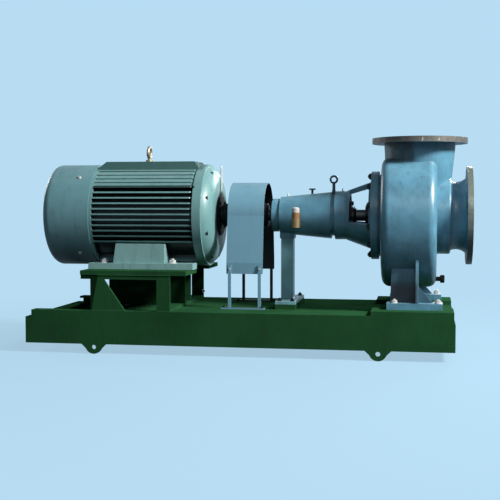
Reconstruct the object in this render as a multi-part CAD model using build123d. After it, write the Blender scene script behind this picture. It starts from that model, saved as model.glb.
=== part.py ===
from build123d import *
import math
import os

# Mixed-flow pump set on a welded base: finned motor, guarded coupling, bearing housing,
# lantern, spiral casing with an upward discharge and an end suction.
# All sizes are in millimetres. While a piece is made, X runs along the shaft from the
# coupling's mid plane towards the suction flange, Z is up from the shaft axis, and the
# near side is -Y. Each piece is set down on the floor when it is written.

# Heights and the welded base
shaft_above_deck = 485
base_height = 172
lug_drop = 50
base_width = 820
rail_left_reach = 1074
rail_right_reach = 1073
rail_flange = 70
rail_web = 9
rail_flange_thickness = 11
end_member_height = 136
end_left_overhang = 32
end_right_overhang = 7
cross_member_width = 60
deck_start_reach = 600
lug_width = 130
lug_radius = 45
lug_thickness = 14
lug_hole_radius = 12
lug_hole_drop = 16
left_lug_reach = 739
right_lug_reach = 708

# Motor, with its foot height and hole spacing from the standard 280 frame
motor_foot_height = 280
motor_foot_gauge = 457
motor_foot_spacing = 368
motor_foot_hole = 12
motor_foot_from_coupling = 367
motor_shaft_radius = 37.5
motor_radius = 272
motor_core_radius = 236
motor_fin_thickness = 8
motor_fin_pitch = 28.7
motor_fin_runout = 42
motor_rim_width = 27
side_fins_below = 5
side_fins_above = 5
upper_fin_count = 4
upper_fin_pitch = 20
top_fin_count = 8
top_fin_height = 286
motor_frame_length = 585
motor_shield_depth = 72
motor_shield_face_radius = 162
motor_shield_rim = 18
motor_rear_shield = 14
motor_cap_thickness = 10
motor_cap_radius = 112
motor_foot_thickness = 31
motor_foot_left_overhang = 76
motor_foot_right_overhang = 118
motor_foot_half_width = 275
motor_foot_depth = 100
motor_web_left_reach = 114
motor_web_right_reach = 147
motor_web_skirt = 15
motor_web_top = -148
motor_web_inner = 130
fan_cover_length = 257
fan_cover_wall = 4
fan_cover_round = 40
grille_slot_width = 18
grille_slot_pitch = 35
grille_slot_rings = 4
grille_first_radius = 70
grille_spoke_width = 16
grille_spoke_count = 6
fan_radius = 225
fan_disc_thickness = 12
fan_blade_thickness = 8
fan_blade_count = 8
fan_hub_radius = 60
fan_set_back = 40
fan_seat_step = 9
terminal_box_length = 250
terminal_box_height = 190
terminal_box_reach = 396
terminal_box_rise = 100
terminal_box_gap = 14
terminal_lid_thickness = 10

# Motor stand
stand_inset = 8
stand_plate = 22
stand_wall = 14
stand_rail_depth = 22
stand_left_reach = 762
stand_right_reach = 338
stand_gusset_top = 76
stand_gusset_bottom = 188
stand_side_setback = 46
stand_side_heel = 10
stand_post_width = 70
stand_rib_offset = 65
stand_top_depth = 250
stand_top_left_overhang = 50
stand_top_right_overhang = 82

# Coupling and its guard
coupling_gap = 4
coupling_hub_radius = 62
coupling_flange_radius = 118
coupling_flange_length = 46
motor_hub_length = 137
pump_hub_length = 105
coupling_pin_count = 8
coupling_pin_circle = 92
coupling_pin_radius = 11
guard_left_reach = 85
guard_right_reach = 106
guard_top_radius = 173
guard_half_width = 207
guard_drop = 305
guard_skirt = 60
guard_sheet = 3
guard_leg_width = 16
guard_leg_inset = 17
guard_bar_overhang = 28
guard_bar_width = 24
guard_bar_thickness = 8

# Bearing housing, measured along the shaft from the coupling
pump_shaft_radius = 30
running_clearance = 0.05
turning_clearance = 8
housing_start = 129
end_cap_length = 34
end_cap_radius = 88
end_groove_length = 11
end_groove_radius = 80
barrel_length = 269
barrel_small_radius = 97
barrel_large_radius = 123
ring_groove_length = 22
ring_groove_radius = 108
ring_length = 61
ring_radius = 127
bearing_cover_length = 24
bearing_cover_radius = 78
housing_bore_radius = 58
seat_clearance = 0.3
housing_eye_height = 189
breather_position = 340
breather_top = 142
oil_cup_position = 271
oil_cup_reach = 160
oil_cup_pipe_drop = -40
oil_glass_height = 62
post_center = 210
post_width = 65
pedestal_width = 104
pedestal_center = 222
pedestal_half_depth = 200
pedestal_height = 27
post_foot_thickness = 15

# Lantern, casing cover and casing
lantern_window_start = 520
lantern_end = 656
lantern_small_radius = 130
lantern_large_radius = 177
lantern_wall = 30
lantern_top_arm_half_angle = 11
lantern_side_angle = 16
cover_thickness = 37
cover_radius = 230
cover_neck_length = 17
cover_neck_radius = 214
gland_length = 34
gland_radius = 66
casing_width = 279
casing_wall = 15
casing_round = 42
casing_cutwater_angle = 120
casing_cutwater_radius = 322
casing_far_radius = 402
casing_throat_angle = 390
casing_roof_height = 296
casing_opening_radius = 196
pump_foot_start = 745
pump_foot_end = 1020
pump_foot_thickness = 32
pump_foot_inner_reach = 205
pump_foot_outer_reach = 320
pump_rib_position = 894
pump_rib_thickness = 15
pump_rib_top = -60
pump_rib_lean = 68
pump_gusset_length = 79
pump_gusset_height = 90
pad_thickness = 22
pad_start = 672
pad_inner_reach = 190

# Flanges: nominal bore 350, discharge drilled for the lower pressure
discharge_height = 400
discharge_center = 900
discharge_flange_radius = 245
discharge_flange_thickness = 28
discharge_bolt_circle_radius = 222.5
discharge_bolt_count = 12
discharge_bolt_hole = 11
discharge_bore_radius = 170
nozzle_head_radius = 182
nozzle_foot_radius = 164
nozzle_foot_height = 120
nozzle_foot_center = 894
suction_flange_radius = 252.5
suction_flange_thickness = 28
suction_bolt_circle_radius = 230
suction_bolt_count = 16
suction_bolt_hole = 13
suction_bore_radius = 175
suction_eye_radius = 152
suction_cylinder_radius = 199
suction_cylinder_length = 70
suction_cover_plate = 22
suction_neck_length = 81
suction_neck_radius = 175

# Impeller
impeller_blade_count = 4
impeller_blade_thickness = 9
impeller_hub_radius = 64
impeller_hub_slope = 30
impeller_nose_length = 40
impeller_blade_turn = 150
impeller_clearance = 6
impeller_tip_radius = 176

# Places that follow from the sizes above
deck_z = -shaft_above_deck
base_bottom_z = deck_z - base_height
floor_z = base_bottom_z - lug_drop
half_base = base_width / 2
motor_foot_z = -motor_foot_height
cap_face = -coupling_gap / 2 - motor_hub_length - turning_clearance
shield_face = cap_face - motor_cap_thickness
frame_right = shield_face - motor_shield_depth
frame_left = frame_right - motor_frame_length
cover_left = frame_left - fan_cover_length
end_cap_end = housing_start + end_cap_length
end_groove_end = end_cap_end + end_groove_length
barrel_end = end_groove_end + barrel_length
ring_start = barrel_end + ring_groove_length
ring_end = ring_start + ring_length
bearing_cover_end = ring_end + bearing_cover_length
cover_end = lantern_end + cover_thickness
casing_left = cover_end + cover_neck_length
casing_right = casing_left + casing_width
casing_middle = (casing_left + casing_right) / 2
suction_cylinder_end = casing_right + suction_cylinder_length
suction_joint = suction_cylinder_end - suction_cover_plate
suction_flange_back = suction_cylinder_end + suction_neck_length
suction_face = suction_flange_back + suction_flange_thickness
motor_middle = -motor_foot_from_coupling - motor_foot_spacing / 2
motor_foot_holes = [motor_middle - motor_foot_spacing / 2, motor_middle + motor_foot_spacing / 2]
terminal_box_low = terminal_box_rise - terminal_box_height / 2
terminal_box_back = motor_radius + terminal_box_gap
left_end = -rail_left_reach - end_left_overhang
stand_near_y = -half_base + stand_inset
middle_x = (left_end + suction_face) / 2


def block(x0, x1, y0, y1, z0, z1):
    return Pos((x0 + x1) / 2, (y0 + y1) / 2, (z0 + z1) / 2) * Box(x1 - x0, y1 - y0, z1 - z0)


def rod_x(radius, x0, x1, y=0, z=0):
    return Pos((x0 + x1) / 2, y, z) * Rot(0, 90, 0) * Cylinder(radius, x1 - x0)


def rod_y(radius, y0, y1, x=0, z=0):
    return Pos(x, (y0 + y1) / 2, z) * Rot(90, 0, 0) * Cylinder(radius, y1 - y0)


def rod_z(radius, z0, z1, x=0, y=0):
    return Pos(x, y, (z0 + z1) / 2) * Cylinder(radius, z1 - z0)


def turned(*stations, rounds=None):
    """A solid of revolution about the shaft from (x, radius) stations."""
    face = make_face(Polyline(*stations, close=True))
    for index, radius in (rounds or {}).items():
        corner = face.vertices().sort_by_distance((*stations[index], 0))[0]
        face = fillet(corner, radius)
    return revolve(face, Axis.X)


def plate_along_y(points, y0, y1):
    """A flat plate outlined in X and Z, between two Y planes."""
    face = Plane.XZ * make_face(Polyline(*points, close=True))
    return Pos(0, y1, 0) * extrude(face, amount=y1 - y0)


def plate_along_x(points, x0, x1):
    """A flat plate outlined in Y and Z, between two X planes."""
    face = Plane.YZ * make_face(Polyline(*points, close=True))
    return Pos(x0, 0, 0) * extrude(face, amount=x1 - x0)


def ring_of(shape, count, first_angle=0):
    """Copies of a shape turned about the shaft."""
    step = 360 / count
    return [Rot(first_angle + step * i, 0, 0) * shape for i in range(count)]


def far_copy(shape):
    return mirror(shape, about=Plane.XZ)


def both_sides(shape):
    return Compound(children=[shape, far_copy(shape)])


# Welded base

def side_rail():
    inner_web = -half_base + rail_web
    inner_flange = -half_base + rail_flange
    low_flange = base_bottom_z + rail_flange_thickness
    high_flange = deck_z - rail_flange_thickness
    section = [
        (-half_base, base_bottom_z), (inner_flange, base_bottom_z), (inner_flange, low_flange),
        (inner_web, low_flange), (inner_web, high_flange), (inner_flange, high_flange),
        (inner_flange, deck_z), (-half_base, deck_z),
    ]
    rail = plate_along_x(section, -rail_left_reach, rail_right_reach)
    for center in (-left_lug_reach, right_lug_reach):
        rail += lifting_lug(center)
    return rail


def lifting_lug(center):
    """A half-round lug with flared roots and one hole, below the rail."""
    y0 = -half_base
    y1 = -half_base + lug_thickness
    nose_z = floor_z + lug_radius
    root_z = floor_z + lug_radius * 0.6
    flare = [
        (center - lug_width / 2, base_bottom_z), (center - lug_radius * 0.9, root_z),
        (center + lug_radius * 0.9, root_z), (center + lug_width / 2, base_bottom_z),
    ]
    above = block(center - lug_width, center + lug_width, y0 - 1, y1 + 1,
                  base_bottom_z, base_bottom_z + lug_radius)
    lug = plate_along_y(flare, y0, y1) + (rod_y(lug_radius, y0, y1, center, nose_z) - above)
    return lug - rod_y(lug_hole_radius, y0 - 1, y1 + 1, center, base_bottom_z - lug_hole_drop)


def end_member(outer_x, inward, overhang):
    """A channel between the rails, with a bar on its back that covers the rails' ends."""
    high = base_bottom_z + end_member_height
    low_flange = base_bottom_z + rail_flange_thickness
    rail_end = outer_x + inward * overhang
    bar = block(min(outer_x, rail_end), max(outer_x, rail_end), -half_base, half_base, base_bottom_z, high)
    tip = outer_x + inward * cross_member_width
    inner_face = rail_end + inward * rail_web
    section = [
        (rail_end, low_flange), (tip, low_flange), (tip, low_flange + rail_web),
        (inner_face, low_flange + rail_web), (inner_face, high - rail_web),
        (tip, high - rail_web), (tip, high), (rail_end, high),
    ]
    width = half_base - rail_web
    return bar + plate_along_y(section, -width, width)


def cross_members():
    low = base_bottom_z + rail_flange_thickness
    high = deck_z - rail_flange_thickness
    wall = rail_web
    width = half_base - rail_web
    reaches = [-stand_left_reach, -stand_right_reach - cross_member_width, post_center, pad_start]
    members = []
    for x in reaches:
        section = [
            (x, low), (x + cross_member_width, low), (x + cross_member_width, low + wall),
            (x + wall, low + wall), (x + wall, high - wall), (x + cross_member_width, high - wall),
            (x + cross_member_width, high), (x, high),
        ]
        members.append(plate_along_y(section, -width, width))
    return Compound(children=members)


def deck_plate():
    edge = half_base - rail_flange
    return block(-deck_start_reach, rail_right_reach, -edge, edge,
                 deck_z - rail_flange_thickness, deck_z)


def pump_pad():
    return block(pad_start, rail_right_reach, -half_base, -pad_inner_reach,
                 deck_z, deck_z + pad_thickness)


# Motor stand

def stand_side():
    """The near side plate with its tapered window."""
    top = motor_foot_z - stand_plate
    outer = [
        (-stand_left_reach + stand_side_heel, deck_z), (-stand_right_reach, deck_z),
        (-stand_right_reach, top), (-stand_left_reach + stand_side_setback, top),
    ]
    window_right = -stand_right_reach - stand_post_width
    window_top = top - stand_rail_depth
    window = [
        (-stand_left_reach + stand_gusset_bottom, deck_z - 1), (window_right, deck_z - 1),
        (window_right, window_top), (-stand_left_reach + stand_gusset_top, window_top),
    ]
    y0 = stand_near_y
    return plate_along_y(outer, y0, y0 + stand_wall) - plate_along_y(window, y0 - 1, y0 + stand_wall + 1)


def stand_end(x, rib_places):
    """Upright ribs between a foot strip and a head strip, across the base."""
    low = deck_z
    high = motor_foot_z - stand_plate
    reach = -stand_near_y - stand_wall
    frame = block(x, x + stand_post_width, -reach, reach, low, low + stand_wall)
    frame += block(x, x + stand_post_width, -reach, reach, high - stand_wall, high)
    frame += block(x, x + stand_wall, -reach, reach, high - stand_rail_depth, high)
    for y in rib_places:
        frame += block(x, x + stand_post_width, y - stand_wall / 2, y + stand_wall / 2, low, high)
    return frame


def stand_web():
    """A long web between the end frames, in line with their near ribs."""
    left = -stand_left_reach + stand_post_width
    right = -stand_right_reach - stand_post_width
    return block(left, right, -stand_rib_offset - stand_wall / 2, -stand_rib_offset + stand_wall / 2,
                 deck_z, motor_foot_z - stand_plate)


def stand_top():
    """The top plate under the near feet, with a stop block under its left end."""
    outer = stand_near_y
    left = -stand_left_reach - stand_top_left_overhang
    right = -stand_right_reach + stand_top_right_overhang
    plate_low = motor_foot_z - stand_plate
    top = block(left, right, outer, outer + stand_top_depth, plate_low, motor_foot_z)
    top += block(left, -stand_left_reach, outer + 10, outer + 90, plate_low - stand_rail_depth, plate_low)
    for x in motor_foot_holes:
        top -= rod_z(motor_foot_hole, plate_low - 1, motor_foot_z + 1, x, -motor_foot_gauge / 2)
    return top


# Motor

def fin_envelope():
    """Where the side fins end: a drum whose drive end slopes down to the core."""
    tip = motor_radius - 4
    return turned((frame_left + 8, 0), (frame_right, 0), (frame_right, motor_core_radius - 4),
                  (frame_right - motor_fin_runout, tip), (frame_left + 8, tip))


def motor_fins():
    """Level fins on the sides, closer ones above them and upright ones on top and below."""
    half = motor_fin_thickness / 2
    top_half = top_fin_count * motor_fin_pitch / 2
    side_heights = [motor_fin_pitch * (i + 0.22) for i in range(-side_fins_below, side_fins_above + 1)]
    upper_start = side_heights[-1] + motor_fin_pitch
    side_heights += [upper_start + upper_fin_pitch * i for i in range(upper_fin_count)]
    stack = [block(frame_left, frame_right, -motor_radius, motor_radius, z - half, z + half)
             for z in side_heights]
    side_fins = fin_envelope() & (stack[0] + stack[1:])
    upright = []
    for i in range(top_fin_count):
        y = -top_half + motor_fin_pitch * (i + 0.5)
        upright.append(block(frame_left, frame_right, y - half, y + half, 0, top_fin_height))
    crest = [
        (frame_left + 10, 0), (frame_right - 12, 0), (frame_right - 12, motor_core_radius),
        (frame_right - motor_fin_runout - 6, top_fin_height), (frame_left + 52, top_fin_height),
        (frame_left + 10, motor_radius - 20),
    ]
    top_fins = plate_along_y(crest, -motor_radius, motor_radius) & (upright[0] + upright[1:])
    lower = [block(frame_left, frame_right, -top_half + motor_fin_pitch * (i + 0.5) - half,
                   -top_half + motor_fin_pitch * (i + 0.5) + half, -motor_radius, 0)
             for i in range(top_fin_count)]
    lower_fins = fin_envelope() & (lower[0] + lower[1:])
    return side_fins + top_fins + lower_fins


def motor_frame():
    body = rod_x(motor_core_radius, frame_left, frame_right) + motor_fins()
    inner = motor_core_radius - 10
    body += turned((frame_right - motor_rim_width, inner), (frame_right, inner), (frame_right, motor_radius),
                   (frame_right - motor_rim_width, motor_radius))
    body += turned((frame_left, inner), (frame_left + 16, inner),
                   (frame_left + 16, motor_radius - fan_cover_wall),
                   (frame_left, motor_radius - fan_cover_wall))
    body += rod_z(34, motor_core_radius - 20, top_fin_height, motor_middle)
    half = terminal_box_length / 2 - 20
    low = terminal_box_low + 20
    body += block(motor_middle - half, motor_middle + half, motor_core_radius - 60,
                  terminal_box_back, low, low + terminal_box_height - 40)
    bore = motor_shaft_radius + turning_clearance
    return body - rod_x(bore, frame_left - 1, frame_right + 1)


def motor_foot():
    """The near foot: a long sole with a hollow web that takes the frame's weight."""
    outer = -motor_foot_half_width
    sole_top = motor_foot_z + motor_foot_thickness
    foot = block(motor_foot_holes[0] - motor_foot_left_overhang,
                 motor_foot_holes[1] + motor_foot_right_overhang,
                 outer, outer + motor_foot_depth, motor_foot_z, sole_top)
    web_left = motor_middle - motor_web_left_reach
    web_right = motor_middle + motor_web_right_reach
    web = [
        (web_left - motor_web_skirt, sole_top - 1), (web_right, sole_top - 1),
        (web_right, motor_web_top), (web_left, motor_web_top),
    ]
    foot += plate_along_y(web, outer + 16, -motor_web_inner)
    foot -= rod_x(motor_radius + seat_clearance, frame_left, frame_right)
    for x in motor_foot_holes:
        foot -= rod_z(motor_foot_hole, motor_foot_z - 1, sole_top + 1, x, -motor_foot_gauge / 2)
    return foot


def fan_cover():
    """A rounded cup over the fan, with rings of slots in its back."""
    wall = fan_cover_wall
    shell = turned((cover_left, 0), (frame_left, 0), (frame_left, motor_radius),
                   (cover_left, motor_radius), rounds={3: fan_cover_round})
    shell -= turned((cover_left + wall, 0), (frame_left + 1, 0), (frame_left + 1, motor_radius - wall),
                    (cover_left + wall, motor_radius - wall), rounds={3: fan_cover_round - wall})
    half = grille_spoke_width / 2
    spoke = block(cover_left - 1, cover_left + wall, -half, half, 0, motor_radius - fan_cover_round)
    spokes = ring_of(spoke, grille_spoke_count)
    for i in range(grille_slot_rings):
        radius = grille_first_radius + grille_slot_pitch * i
        slot = turned((cover_left - 1, radius), (cover_left + wall + 1, radius),
                      (cover_left + wall + 1, radius + grille_slot_width),
                      (cover_left - 1, radius + grille_slot_width))
        shell -= slot - spokes
    return shell


def motor_fan():
    """A hub and a disc with straight blades, so that the motor cools either way round."""
    root = frame_left - fan_set_back
    tip = cover_left + fan_cover_wall + turning_clearance * 2
    seat = motor_shaft_radius - fan_seat_step
    hub = turned((tip + fan_set_back, seat), (root, seat), (root, fan_hub_radius + 10),
                 (tip + fan_set_back * 1.5, fan_hub_radius), (tip + fan_set_back, fan_hub_radius - 4))
    disc = turned((root - fan_disc_thickness, fan_hub_radius), (root, fan_hub_radius),
                  (root, fan_radius), (root - fan_disc_thickness, fan_radius))
    half = fan_blade_thickness / 2
    blade = block(tip, root - fan_disc_thickness / 2, -half, half, fan_hub_radius - 2, fan_radius)
    return hub + disc + ring_of(blade, fan_blade_count)


def motor_shaft():
    seat = motor_shaft_radius - fan_seat_step
    back = cover_left + fan_cover_wall + turning_clearance * 3
    body = rod_x(motor_shaft_radius, frame_left - motor_rear_shield, -coupling_gap / 2)
    return body + rod_x(seat, back, frame_left)


def rear_shield():
    bore = motor_shaft_radius + running_clearance
    back = frame_left - motor_rear_shield
    return turned((back, bore), (frame_left, bore), (frame_left, motor_core_radius - 30),
                  (back, motor_core_radius - 30 - motor_rear_shield))


def drive_shield():
    """A domed end shield from the frame's rim to the flat face round the shaft."""
    bore = motor_shaft_radius + running_clearance
    rim_x = frame_right + motor_shield_rim
    shoulder = motor_radius - 12
    outline = Polyline((rim_x, shoulder), (rim_x, motor_radius), (frame_right, motor_radius),
                       (frame_right, bore), (shield_face, bore), (shield_face, motor_shield_face_radius))
    bulge_x = shield_face - (shield_face - rim_x) * 0.25
    bulge_radius = (shoulder + motor_shield_face_radius) / 2 + 14
    outline += ThreePointArc((shield_face, motor_shield_face_radius), (bulge_x, bulge_radius),
                             (rim_x, shoulder))
    return revolve(make_face(outline), Axis.X)


def drive_cap():
    bore = motor_shaft_radius + turning_clearance
    return turned((shield_face, bore), (cap_face, bore), (cap_face, motor_cap_radius - 8),
                  (shield_face, motor_cap_radius))


def terminal_slab(y0, y1):
    slab = block(motor_middle - terminal_box_length / 2, motor_middle + terminal_box_length / 2,
                 y0, y1, terminal_box_low, terminal_box_low + terminal_box_height)
    return fillet(slab.edges().filter_by(Axis.Y), 18)


def terminal_box():
    lid_y = terminal_box_reach - terminal_lid_thickness
    gland_y = (terminal_box_back + lid_y) / 2
    gland = rod_z(26, terminal_box_low - 34, terminal_box_low, motor_middle + 50, gland_y)
    return terminal_slab(terminal_box_back, lid_y) + gland


def terminal_lid():
    return terminal_slab(terminal_box_reach - terminal_lid_thickness, terminal_box_reach)


def motor_eye_bolt():
    ring = Pos(motor_middle, 0, top_fin_height + 52) * Rot(0, 90, 0) * Torus(27, 9)
    collar = rod_z(20, top_fin_height, top_fin_height + 12, motor_middle)
    return ring + collar + rod_z(11, top_fin_height + 6, top_fin_height + 24, motor_middle)


# Coupling

def coupling_half(face_x, outward, length, bore):
    """One half of the pin coupling; outward is the side its boss points to."""
    flange_end = face_x + outward * coupling_flange_length
    boss_end = face_x + outward * length
    half = turned((face_x, bore), (boss_end, bore), (boss_end, coupling_hub_radius - 4),
                  (boss_end - outward * 4, coupling_hub_radius), (flange_end, coupling_hub_radius),
                  (flange_end, coupling_flange_radius), (face_x, coupling_flange_radius))
    hole = rod_x(coupling_pin_radius, min(face_x, flange_end) - 1, max(face_x, flange_end) + 1,
                 z=coupling_pin_circle)
    return half - ring_of(hole, coupling_pin_count)


def coupling_pins():
    reach = coupling_gap / 2 + coupling_flange_length
    pin = rod_x(coupling_pin_radius, -reach, reach, z=coupling_pin_circle)
    head = rod_x(coupling_pin_radius + 6, reach, reach + 10, z=coupling_pin_circle)
    return Compound(children=ring_of(pin + head, coupling_pin_count))


def guard_outline(offset):
    """The guard's inverted U, moved inwards by the sheet's thickness where asked."""
    top = guard_top_radius - offset
    side = guard_half_width - offset
    bend = -guard_drop + guard_skirt
    arc = CenterArc((0, 0), top, 0, 180)
    lower = Polyline((-top, 0), (-side, bend), (-side, -guard_drop), (side, -guard_drop),
                     (side, bend), (top, 0))
    return Plane.YZ * make_face(arc + lower)


def coupling_guard():
    length = guard_left_reach + guard_right_reach
    outer = extrude(guard_outline(0), amount=length)
    inner = Pos(-1, 0, 0) * extrude(guard_outline(guard_sheet), amount=length + 2)
    below = block(-1, length + 1, -guard_half_width, guard_half_width,
                  -guard_drop - 1, -guard_drop + guard_sheet)
    return Pos(-guard_left_reach, 0, 0) * (outer - inner - below)


def guard_legs():
    """Two legs on a foot bar, on the near side."""
    y1 = -guard_half_width
    y0 = y1 - guard_sheet * 2
    bar_top = deck_z + guard_bar_thickness
    legs = block(-guard_left_reach - guard_bar_overhang, guard_right_reach + guard_bar_overhang / 3,
                 (y0 + y1 - guard_bar_width) / 2, (y0 + y1 + guard_bar_width) / 2, deck_z, bar_top)
    for x in (-guard_left_reach + guard_leg_inset, guard_right_reach - guard_leg_inset):
        legs += block(x - guard_leg_width / 2, x + guard_leg_width / 2, y0, y1,
                      bar_top - 1, -guard_drop + guard_skirt - 12)
    return legs


# Bearing housing

def bearing_housing():
    housing = turned(
        (end_cap_end, housing_bore_radius), (ring_end, housing_bore_radius), (ring_end, ring_radius),
        (ring_start, ring_radius), (ring_start, ring_groove_radius), (barrel_end, ring_groove_radius),
        (barrel_end, barrel_large_radius), (end_groove_end, barrel_small_radius),
        (end_groove_end, end_groove_radius), (end_cap_end, end_groove_radius))
    half = post_width / 2
    boss = block(post_center - half - 6, post_center + half + 6, -half - 6, half + 6,
                 -barrel_small_radius - 26, -housing_bore_radius - 12)
    boss -= rod_x(housing_bore_radius, end_cap_end, ring_end)
    return housing + boss


def end_cap():
    bore = pump_shaft_radius + running_clearance
    return turned((housing_start, bore), (end_cap_end, bore), (end_cap_end, end_cap_radius),
                  (housing_start, end_cap_radius), rounds={3: 5})


def bearing_cover():
    bore = pump_shaft_radius + running_clearance
    return turned((ring_end, bore), (bearing_cover_end, bore),
                  (bearing_cover_end, bearing_cover_radius), (ring_end, bearing_cover_radius))


def barrel_form(clearance):
    """The barrel's outside as a solid, to fit what stands on it."""
    return turned((end_groove_end, 0), (barrel_end, 0), (barrel_end, barrel_large_radius + clearance),
                  (end_groove_end, barrel_small_radius + clearance))


def housing_eye_bolt():
    x = barrel_end + ring_groove_length / 2
    collar = ring_groove_length / 2 - 1
    seat = ring_groove_radius + seat_clearance
    ring = Pos(x, 0, housing_eye_height) * Rot(90, 0, 0) * Torus(17.5, 5.5)
    bolt = ring + rod_z(8, seat, housing_eye_height - 14, x)
    return bolt + rod_z(collar, seat, ring_radius + 6, x)


def breather_plug():
    cap_low = breather_top - 8
    stem = rod_z(6, barrel_small_radius, cap_low, breather_position) - barrel_form(seat_clearance)
    return stem + rod_z(17, cap_low, breather_top, breather_position)


def oil_level_cup():
    pipe = rod_y(9, -oil_cup_reach, -barrel_small_radius + 10, oil_cup_position, oil_cup_pipe_drop)
    pipe -= barrel_form(seat_clearance)
    return pipe + rod_z(24, oil_cup_pipe_drop - 22, oil_cup_pipe_drop + 22, oil_cup_position, -oil_cup_reach)


def oil_level_glass():
    seat = oil_cup_pipe_drop + 22
    glass = rod_z(20, seat, seat + oil_glass_height, oil_cup_position, -oil_cup_reach)
    return fillet(glass.edges().sort_by(Axis.Z)[-1], 12)


def support_post():
    half = post_width / 2
    foot_z = deck_z + pedestal_height
    post = block(post_center - half, post_center + half, -half, half,
                 foot_z + post_foot_thickness, -barrel_small_radius - 26)
    foot = block(pedestal_center - pedestal_width / 2, pedestal_center + pedestal_width / 2,
                 -pedestal_half_depth, pedestal_half_depth, foot_z, foot_z + post_foot_thickness)
    return post + foot


def pedestal():
    return block(pedestal_center - pedestal_width / 2, pedestal_center + pedestal_width / 2,
                 -pedestal_half_depth, pedestal_half_depth, deck_z, deck_z + pedestal_height)


# Lantern and casing cover

def lantern():
    wall = lantern_wall
    start = ring_end
    shell = turned((start, lantern_small_radius - 22), (start, lantern_small_radius),
                   (lantern_end, lantern_large_radius), (lantern_end, lantern_large_radius - wall))
    window = turned((start + 16, 0), (lantern_end - 12, 0), (lantern_end - 12, 300), (start + 16, 300))
    upper = []
    for side in (-1, 1):
        first = math.radians(90 - lantern_top_arm_half_angle)
        last = math.radians(-lantern_side_angle)
        points = [(0, 0)]
        for i in range(5):
            angle = first + (last - first) * i / 4
            points.append((side * 400 * math.cos(angle), 400 * math.sin(angle)))
        upper.append(plate_along_x(points, start + 16, lantern_end - 12))
    for sector in upper:
        shell -= window & sector
    return shell


def casing_cover():
    bore = pump_shaft_radius + turning_clearance
    body = turned((lantern_end, bore), (casing_left + casing_wall, bore),
                  (casing_left + casing_wall, casing_opening_radius - 0.3),
                  (casing_left, casing_opening_radius - 0.3), (casing_left, cover_neck_radius),
                  (cover_end, cover_neck_radius), (cover_end, cover_radius), (lantern_end, cover_radius))
    return body


def shaft_gland():
    bore = pump_shaft_radius + running_clearance
    return turned((lantern_end - gland_length, bore), (lantern_end, bore), (lantern_end, gland_radius),
                  (lantern_end - 12, gland_radius), (lantern_end - 12, gland_radius - 16),
                  (lantern_end - gland_length, gland_radius - 16))


# Casing

def spiral_radius(angle):
    """Outer radius of the casing, growing from the cutwater round below to the nozzle."""
    share = (angle - casing_cutwater_angle) / (360 - casing_cutwater_angle)
    return casing_cutwater_radius + (casing_far_radius - casing_cutwater_radius) * share


def spiral_body(inset, x0, x1):
    count = 10
    step = (casing_throat_angle - casing_cutwater_angle) / count
    points = []
    for i in range(count + 1):
        angle = casing_cutwater_angle + step * i
        radius = spiral_radius(angle) - inset
        turn = math.radians(angle)
        points.append((radius * math.cos(turn), radius * math.sin(turn)))
    roof = casing_roof_height - inset
    points.append((0.15 * roof, roof))
    face = Plane.YZ * make_face(Spline(*points, periodic=True))
    return Pos(x0, 0, 0) * extrude(face, amount=x1 - x0)


def nozzle_shape():
    """The outside of the discharge nozzle, a cone that leans over the suction side."""
    top_z = discharge_height - discharge_flange_thickness
    foot = Pos(nozzle_foot_center, 0, nozzle_foot_height) * Circle(nozzle_foot_radius)
    head = Pos(discharge_center, 0, top_z - 20) * Circle(nozzle_head_radius)
    return loft([foot, head]) + rod_z(nozzle_head_radius, top_z - 20, top_z + 1, discharge_center)


def nozzle_bore():
    """The passage from the spiral chamber to the discharge."""
    throat = (casing_width - 2 * casing_wall) / 2 - 12
    chamber_z = nozzle_foot_height + 80
    low_z = discharge_height - discharge_flange_thickness - 20
    foot = Pos(casing_middle, 0, chamber_z) * Circle(throat)
    head = Pos(discharge_center, 0, low_z) * Circle(discharge_bore_radius)
    return loft([foot, head]) + rod_z(discharge_bore_radius, low_z - 1, discharge_height + 1,
                                      discharge_center)


def volute_casing():
    outer = spiral_body(0, casing_left, casing_right)
    rims = outer.edges().filter_by(lambda e: abs(e.bounding_box().size.X) < 0.01)
    casing = fillet(rims, casing_round)
    casing += nozzle_shape()
    casing += turned((casing_right - 60, 0), (suction_joint, 0), (suction_joint, suction_cylinder_radius),
                     (casing_right - 60, suction_cylinder_radius))
    casing += turned((casing_left, 0), (casing_left + 60, 0), (casing_left + 60, cover_neck_radius),
                     (casing_left, cover_neck_radius))
    casing += rod_z(discharge_flange_radius, discharge_height - discharge_flange_thickness,
                    discharge_height, discharge_center)
    for side in (-1, 1):
        casing += pump_foot(side)
    wall = casing_wall
    casing -= spiral_body(wall, casing_left + wall, casing_right - wall)
    casing -= nozzle_bore()
    seat = suction_cylinder_radius + seat_clearance
    casing -= rod_x(seat, suction_joint, suction_flange_back)
    casing -= rod_x(casing_opening_radius, casing_left - 1, casing_left + wall + 1)
    casing -= rod_x(suction_eye_radius, casing_right - wall - 1, suction_joint + 1)
    for i in range(discharge_bolt_count):
        angle = math.radians((i + 0.5) * 360 / discharge_bolt_count)
        x = discharge_center + discharge_bolt_circle_radius * math.cos(angle)
        y = discharge_bolt_circle_radius * math.sin(angle)
        casing -= rod_z(discharge_bolt_hole, discharge_height - discharge_flange_thickness - 1,
                        discharge_height + 1, x, y)
    return casing


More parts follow.
